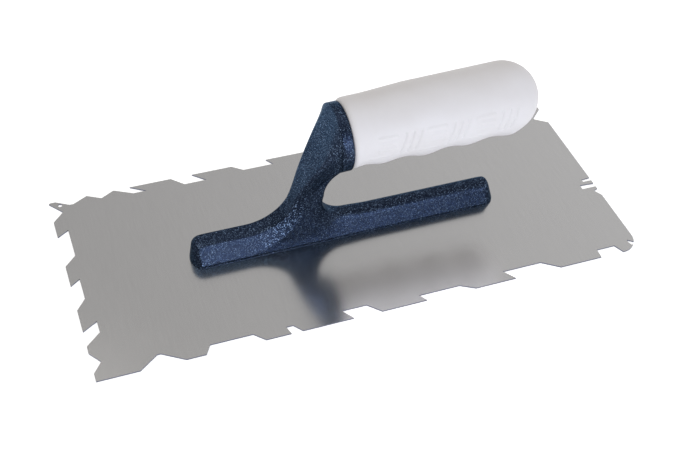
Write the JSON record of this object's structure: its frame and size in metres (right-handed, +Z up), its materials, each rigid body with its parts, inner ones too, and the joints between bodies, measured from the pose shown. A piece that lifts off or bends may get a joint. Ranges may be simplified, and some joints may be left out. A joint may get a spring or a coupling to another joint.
{
  "type": "notched trowel",
  "caption": "Notched trowel: flat steel sheet with uneven notches on all its edges, cast mounting with foot, post and collar, and a soft domed grip.",
  "frame": {"origin": "centre of the blade's underside", "axes": "+X along the blade towards the domed end of the grip, +Y across the blade, +Z up from the blade to the grip"},
  "size_m": [0.28, 0.12, 0.0845],
  "materials": {
    "blade_steel": "fine satin stainless sheet with a bright sheared edge",
    "casting_paint": "glossy dark blue-grey paint with fine silver flake on die-cast aluminium",
    "core_plastic": "hard moulded plastic, hidden inside the cover",
    "grip_rubber": "soft off-white moulded rubber, satin",
    "stud_steel": "bright stainless weld stud"
  },
  "bodies": {
    "root": {"blade": "blade_steel", "casting": "casting_paint", "grip_core": "core_plastic", "grip_cover": "grip_rubber", "stud_1": "stud_steel", "stud_2": "stud_steel", "stud_3": "stud_steel", "stud_4": "stud_steel", "stud_5": "stud_steel", "stud_6": "stud_steel", "stud_7": "stud_steel", "stud_8": "stud_steel"}
  },
  "joints": []
}
